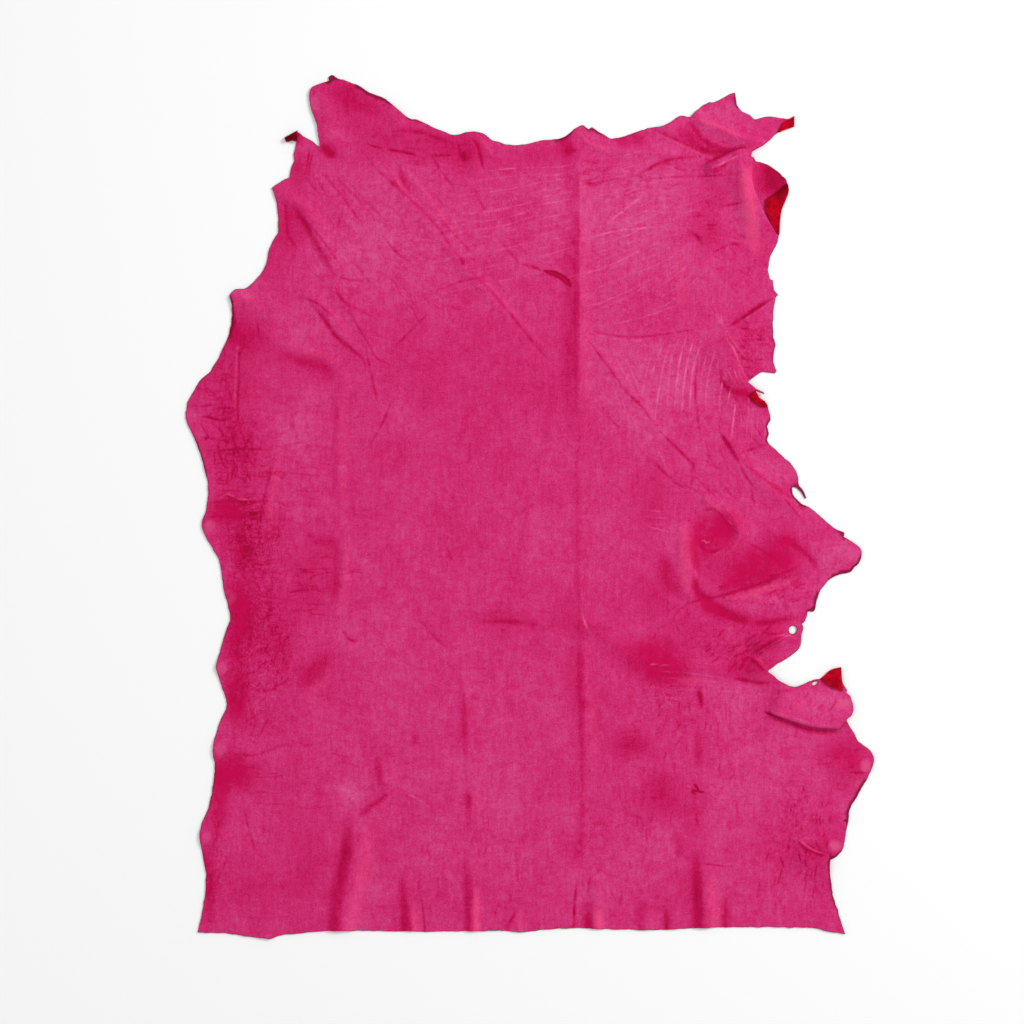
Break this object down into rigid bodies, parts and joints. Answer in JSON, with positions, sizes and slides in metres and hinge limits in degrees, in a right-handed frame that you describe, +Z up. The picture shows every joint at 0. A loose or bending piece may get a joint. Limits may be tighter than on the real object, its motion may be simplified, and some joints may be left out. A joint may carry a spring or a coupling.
{
  "type": "leather hide",
  "caption": "Flat hide of dyed vegetable-tanned leather, grain side up, with scalloped and torn edges, pressed folds and turned-over rims.",
  "frame": {"origin": "middle of the hide's outer box, on the surface that it lies on", "axes": "+X across the hide towards its folded edge, +Y along its length towards the neck, +Z up out of the grain side"},
  "size_m": [1.1006, 1.3804, 0.0127],
  "materials": {
    "dyed leather": "matte grain on top, red suede flesh side"
  },
  "bodies": {
    "root": {"hide": "dyed leather"}
  },
  "joints": []
}
